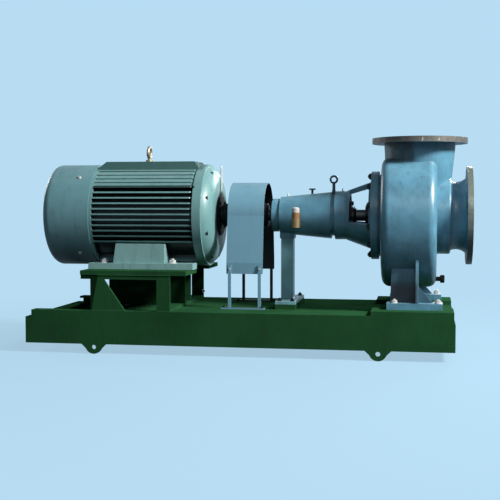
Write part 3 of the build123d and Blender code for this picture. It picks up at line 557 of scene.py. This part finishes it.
# Bolts round the flanges and covers on the shaft's axis: where along it, which way and how many
ringBolts = {
    "coverBolts": {"x": low("casing_cover").x, "way": -1, "ring": 0.210, "count": 12, "head": 0.0155,
                   "start": 15, "stud": 1.1, "slot": "pump_paint"},
    "bearingCoverBolts": {"x": high("bearing_cover").x, "way": 1, "ring": 0.063, "count": 6, "head": 0.010,
                          "start": 30, "slot": "black_paint"},
    "endCapBolts": {"x": low("end_cap").x, "way": -1, "ring": 0.070, "count": 6, "head": 0.009,
                    "slot": "pump_paint"},
    "shieldBolts": {"x": high("drive_shield").x - 0.034, "way": 1, "ring": 0.236, "count": 8, "head": 0.011,
                    "start": 22.5, "slot": "motor_paint"},
    "driveCapBolts": {"x": high("drive_cap").x, "way": 1, "ring": 0.090, "count": 4, "head": 0.008,
                      "start": 45, "slot": "black_paint"},
    "glandNuts": {"x": low("shaft_gland").x + 0.022, "way": -1, "ring": 0.058, "count": 2, "head": 0.009,
                  "stud": 2.2, "slot": "brass_trim"},
}
for title, spec in ringBolts.items():
    placed = {**spec, "at": (spec["x"], 0, axisZ), "axis": (spec["way"], 0, 0), "finish": "darkSteel"}
    joined(title, [boltMesh(placed)], fixedBody)
print("stage: bolt rings")


def spotsAt(first, second, spot):
    return [spot(a, b) for a in first for b in second]


# Single bolts that hold feet, legs and lids, and the earth stud
motorMiddle = middle("motor_eye_bolt").x
motorFootTop = low("motor_feet").z + 0.031
pumpFootTop = high("pump_pads").z + 0.032
postFootTop = high("pedestal").z + 0.015
guardFootTop = low("guard_legs").z + 0.008
lidFace = high("terminal_lid").y
lidMiddle = middle("terminal_lid").z
guardLegFace = 0.213
guardScrews = [(x, 0.430) for x in (-0.099, 0.058)]
singles = {
    "motorFootBolts": {
        "spots": spotsAt((-0.184, 0.184), (-0.2285, 0.2285), lambda x, y: (motorMiddle + x, y, motorFootTop)),
        "axis": (0, 0, 1), "head": 0.018, "finish": "zincSteel", "stud": 1.15, "slot": "bright_steel"},
    "pumpFootBolts": {
        "spots": spotsAt((0.751, 0.966), (-0.290, 0.290), lambda x, y: (x, y, pumpFootTop)),
        "axis": (0, 0, 1), "head": 0.015, "finish": "zincSteel", "stud": 1.15, "slot": "bright_steel"},
    "postFootBolts": {
        "spots": spotsAt((0.158, 0.224), (-0.165, 0.165), lambda x, y: (x, y, postFootTop)),
        "axis": (0, 0, 1), "head": 0.011, "finish": "darkSteel", "stud": 1.3, "slot": "pump_paint"},
    "terminalScrews": {
        "spots": spotsAt((-0.108, 0.108), (-0.078, 0.078),
                         lambda x, z: (motorMiddle + x, lidFace, lidMiddle + z)),
        "axis": (0, 1, 0), "head": 0.007, "finish": "zincSteel", "slot": "motor_paint"},
    "guardLegBolts": {
        "spots": spotsAt((-0.130, 0.072), (-0.210, 0.210), lambda x, y: (x, y, guardFootTop)),
        "axis": (0, 0, 1), "head": 0.008, "finish": "darkSteel", "slot": "guard_paint"},
    "guardScrewsNear": {
        "spots": [(x, -guardLegFace, z) for x, z in guardScrews],
        "axis": (0, -1, 0), "head": 0.005, "finish": "zincSteel", "slot": "guard_paint"},
    "guardScrewsFar": {
        "spots": [(x, guardLegFace, z) for x, z in guardScrews],
        "axis": (0, 1, 0), "head": 0.005, "finish": "zincSteel", "slot": "guard_paint"},
    "earthStud": {
        "spots": [(high("stand_end_right").x, 0.355, 0.262)],
        "axis": (1, 0, 0), "head": 0.009, "finish": "zincSteel", "stud": 1.6, "slot": "bright_steel"},
}
for title, spec in singles.items():
    meshes = [boltMesh({**spec, "at": spot, "count": 1}) for spot in spec["spots"]]
    joined(title, meshes, fixedBody)
print("stage: single bolts")

# Screws round the fan cover's open end, pointing outwards
coverRadius = (high("fan_cover").z - low("fan_cover").z) / 2
screwX = high("fan_cover").x - 0.072
screwMeshes = []
for degrees in (47.5, 132.5, 227.5, 312.5):
    angle = math.radians(degrees)
    outward = Vector((0, math.cos(angle), math.sin(angle)))
    spot = Vector((screwX, 0, axisZ)) + outward * (coverRadius - 0.001)
    screwMeshes.append(boltMesh({"at": spot, "axis": outward, "count": 1, "head": 0.008,
                                 "finish": "zincSteel"}))
joined("fanCoverScrews", screwMeshes, fixedBody)


def tubeMesh(name, rows, finish):
    # each row of points is a closed ring; rings are bridged in turn and both ends are capped
    sides = len(rows[0])
    last = (len(rows) - 1) * sides
    faces = []
    for start in range(0, last, sides):
        for i in range(sides):
            j = (i + 1) % sides
            faces.append((start + i, start + j, start + sides + j, start + sides + i))
    faces.append(tuple(reversed(range(sides))))
    faces.append(tuple(range(last, last + sides)))
    mesh = bpy.data.meshes.new(name)
    mesh.from_pydata([point for row in rows for point in row], [], faces)
    mesh.materials.append(finish)
    shell = bmesh.new()
    shell.from_mesh(mesh)
    bmesh.ops.recalc_face_normals(shell, faces=shell.faces)
    shell.to_mesh(mesh)
    shell.free()
    return mesh


# The upper side gaps of the motor are shallow: a curved floor lies high between those fins
gapFloor = {"inner": 0.250, "outer": 0.2635, "from": 36.5, "to": 63.5, "steps": 18,
            "left": low("motor_frame").x + 0.012, "right": high("motor_frame").x - 0.012}


def gapFloorMesh(side):
    section = ((gapFloor["inner"], gapFloor["left"]), (gapFloor["outer"], gapFloor["left"]),
               (gapFloor["outer"], gapFloor["right"]), (gapFloor["inner"], gapFloor["right"]))
    rows = []
    for step in range(gapFloor["steps"] + 1):
        share = (gapFloor["to"] - gapFloor["from"]) * step / gapFloor["steps"]
        angle = math.radians(gapFloor["from"] + share)
        rows.append([(x, side * radius * math.cos(angle), axisZ + radius * math.sin(angle))
                     for radius, x in section])
    return tubeMesh("gapFloor", rows, finishes["motorGreen"])


joined("upperGapFloors", [gapFloorMesh(-1), gapFloorMesh(1)], fixedBody)

# Weld beads where plates of the base and the stand meet
weldBead = {"radius": 0.0035, "ripple": 0.004}
deckZ = high("deck_plate").z
deckSeam = deckZ + 0.001
standLow = low("stand_side_near")
standHigh = high("stand_side_near")
topSeam = standHigh.z - 0.001
padEdge = low("pump_pads").x
padSeam = deckZ + 0.002
weldSpots = []
for sign in (-1, 1):
    outer = sign * abs(standLow.y)
    weldSpots.append(((standLow.x, outer, deckSeam), (standLow.x + 0.178, outer, deckSeam)))
    weldSpots.append(((standHigh.x - 0.070, outer, deckSeam), (standHigh.x, outer, deckSeam)))
    weldSpots.append(((standLow.x + 0.036, outer, topSeam), (standHigh.x, outer, topSeam)))
    weldSpots.append(((padEdge, sign * 0.405, padSeam), (padEdge, sign * 0.192, padSeam)))
pedestalLow = low("pedestal")
pedestalHigh = high("pedestal")
for y in (pedestalLow.y, pedestalHigh.y):
    weldSpots.append(((pedestalLow.x, y, deckSeam), (pedestalHigh.x, y, deckSeam)))
endReach = abs(standLow.y) - 0.02
weldSpots.append(((standHigh.x, -endReach, deckSeam), (standHigh.x, endReach, deckSeam)))
weldMeshes = []
for start, end in weldSpots:
    run = (Vector(end) - Vector(start)).length
    weldMeshes.append(grown(beadTree, {
        "Start": start, "End": end, "Radius": weldBead["radius"], "Ripples": int(run / weldBead["ripple"]),
        "Finish": finishes["baseGreen"]}))
joined("weldBeads", weldMeshes, fixedBody, smooth=True)
print("stage: welds")


# Turned shapes: an outline of (radius, height) pairs swept about an axis
def turnedMesh(outline, sides, at, axis, finish):
    turns = [math.tau * i / sides for i in range(sides)]
    rows = [[(radius * math.cos(angle), radius * math.sin(angle), height) for angle in turns]
            for radius, height in outline]
    mesh = tubeMesh("turned", rows, finish)
    mesh.transform(Matrix.Translation(at) @ facing(axis))
    mesh.update()
    return mesh


# Plugs, glands and greasing points, each a turned outline where it is screwed in
outlines = {
    "plug": [(0.016, 0.0), (0.016, 0.005), (0.0125, 0.006), (0.0125, 0.018), (0.010, 0.021)],
    "drain": [(0.012, -0.004), (0.012, 0.020), (0.019, 0.021), (0.021, 0.024), (0.021, 0.040),
              (0.017, 0.044)],
    "gland": [(0.017, -0.002), (0.017, 0.006), (0.021, 0.007), (0.021, 0.019), (0.015, 0.021),
              (0.018, 0.024), (0.018, 0.034), (0.009, 0.038)],
    "nipple": [(0.0055, -0.002), (0.0055, 0.005), (0.0035, 0.006), (0.0035, 0.010), (0.0045, 0.012),
               (0.0030, 0.015)],
    "pipe": [(0.0045, -0.002), (0.0045, 0.120), (0.0065, 0.121), (0.0065, 0.131), (0.0035, 0.133),
             (0.0035, 0.143), (0.0050, 0.145), (0.0030, 0.150)],
    "deflector": [(0.031, 0.0), (0.047, 0.001), (0.050, 0.004), (0.040, 0.007), (0.038, 0.013),
                  (0.031, 0.014)],
}
boxUnderside = low("terminal_box").z
fittings = {
    "casingDrain": {"outline": "drain", "sides": 18, "finish": "darkSteel", "slot": "black_paint",
                    "spots": [(0.958, 0.0, 0.377)], "axis": (1, 0, 0)},
    "casingPlug": {"outline": "plug", "sides": 6, "finish": "darkSteel", "slot": "black_paint",
                   "spots": [(0.830, 0.0, 0.3352)], "axis": (0, 0, -1)},
    "cableGlands": {"outline": "gland", "sides": 24, "finish": "blackPaint", "slot": "black_paint",
                    "spots": [(x, 0.340, boxUnderside) for x in (-0.640, -0.535)], "axis": (0, 0, -1)},
    "housingNipples": {"outline": "nipple", "sides": 16, "finish": "zincSteel", "slot": "bright_steel",
                       "spots": [(0.180, 0.0, 0.8075), (0.470, 0.0, 0.834)], "axis": (0, 0, 1)},
    "driveGreasePipe": {"outline": "pipe", "sides": 16, "finish": "zincSteel", "slot": "bright_steel",
                        "spots": [(-0.183, 0.0, high("drive_cap").z)], "axis": (0, 0, 1)},
    "shaftDeflector": {"outline": "deflector", "sides": 48, "finish": "blackPaint", "slot": "black_paint",
                       "spots": [(high("bearing_cover").x + 0.010, 0, axisZ)], "axis": (1, 0, 0),
                       "body": turningBody, "smooth": True},
}
for title, spec in fittings.items():
    meshes = [turnedMesh(outlines[spec["outline"]], spec["sides"], spot, spec["axis"],
                         finishes[spec["finish"]]) for spot in spec["spots"]]
    joined(title, meshes, spec.get("body", fixedBody), spec.get("smooth", False))
print("stage: plugs, glands and greasing points")

# Wire mesh behind the air slots of the fan cover
coverMesh = grown(wireMeshTree(), {"Width": 0.44, "Lines": 41, "Reach": 0.216, "Wire Radius": 0.0008,
                                   "Finish": finishes["darkSteel"]})
coverMesh.transform(Matrix.Translation((low("fan_cover").x + 0.0055, 0, axisZ)) @ facing((1, 0, 0)))
joined("coverMesh", [coverMesh], fixedBody)
print("stage: wire mesh")


# Floor and backdrop, plain and pale, of the same colour to the eye
def stageFinish():
    sheet = Sheet("stageFinish")
    glow = sheet.add("ShaderNodeEmission", {}, {"Color": paleColour, "Strength": 1.0})
    matt = sheet.add("ShaderNodeBsdfDiffuse", {}, {"Color": (0.30, 0.45, 0.56, 1)})
    x, y = sheet.axes()[:2]
    # shadows show near the object and fade out away from it
    near = 1 - ((x * x + y * y) ** 0.5).ramp(1.3, 3.4)
    seen = sheet.mixShaders(near * 0.25, glow, matt)
    plain = sheet.add("ShaderNodeBsdfDiffuse", {}, {"Color": (0.06, 0.07, 0.08, 1)})
    sheet.end("ShaderNodeOutputMaterial", sheet.mixShaders(sheet.seenShare(), plain, seen))
    return sheet.material


floorMesh = bpy.data.meshes.new("floor")
floorReach = 14.0
corners = [(x * floorReach, y * floorReach, 0) for x, y in ((-1, -1), (1, -1), (1, 1), (-1, 1))]
floorMesh.from_pydata(corners, [], [(0, 1, 2, 3)])
floorMesh.materials.append(stageFinish())
inScene("floor", floorMesh)

world = bpy.data.worlds.new("studio")
bpy.context.scene.world = world
world.use_nodes = True
air = Board(world.node_tree)
soft = air.add("ShaderNodeBackground", {}, {"Color": (0.86, 0.93, 1.0, 1), "Strength": 0.10})
backdrop = air.add("ShaderNodeBackground", {}, {"Color": paleColour})
mixer = air.add("ShaderNodeMixShader", {}, {0: air.seenShare(), 1: soft, 2: backdrop})
air.end("ShaderNodeOutputWorld", mixer)


def areaLamp(name, at, aim, size, watts, colour):
    data = bpy.data.lights.new(name, "AREA")
    data.shape = "RECTANGLE"
    data.size, data.size_y = size
    data.energy = watts
    data.color = colour
    lamp = inScene(name, data)
    lamp.location = at
    lamp.rotation_euler = (Vector(aim) - Vector(at)).to_track_quat("-Z", "Y").to_euler()


# A strong key from the right, a weak fill from the front and two lamps from behind
coolWhite = (0.95, 0.98, 1.0)
areaLamp("keyLamp", (6.3, -2.3, 5.0), (0.1, 0, 0.6), (1.3, 1.3), 1380, (1.0, 0.99, 0.96))
areaLamp("fillLamp", (2.0, -5.4, 4.0), (0, 0, 0.6), (2.4, 1.6), 70, coolWhite)
areaLamp("backLamp", (2.5, 6.5, 3.0), (0, 0, 0.6), (2.4, 1.6), 300, coolWhite)
areaLamp("leftLamp", (-6.0, 4.2, 3.0), (0, 0, 0.6), (2.0, 1.6), 150, coolWhite)

# The camera stands where the photograph was taken from: to the right of the middle, just above the shaft
cameraSet = {"at": (0.8962, -5.352, 0.7846), "yaw": 9.786, "pitch": 2.797, "lens": 72.8, "sensor": 36.0}
lensData = bpy.data.cameras.new("photoCamera")
lensData.lens = cameraSet["lens"]
lensData.sensor_width = cameraSet["sensor"]
camera = inScene("photoCamera", lensData)
camera.location = cameraSet["at"]
camera.rotation_euler = (math.radians(90 - cameraSet["pitch"]), 0, math.radians(cameraSet["yaw"]))
bpy.context.scene.camera = camera
bpy.context.scene.view_settings.view_transform = "Standard"
print("stage: studio and camera")
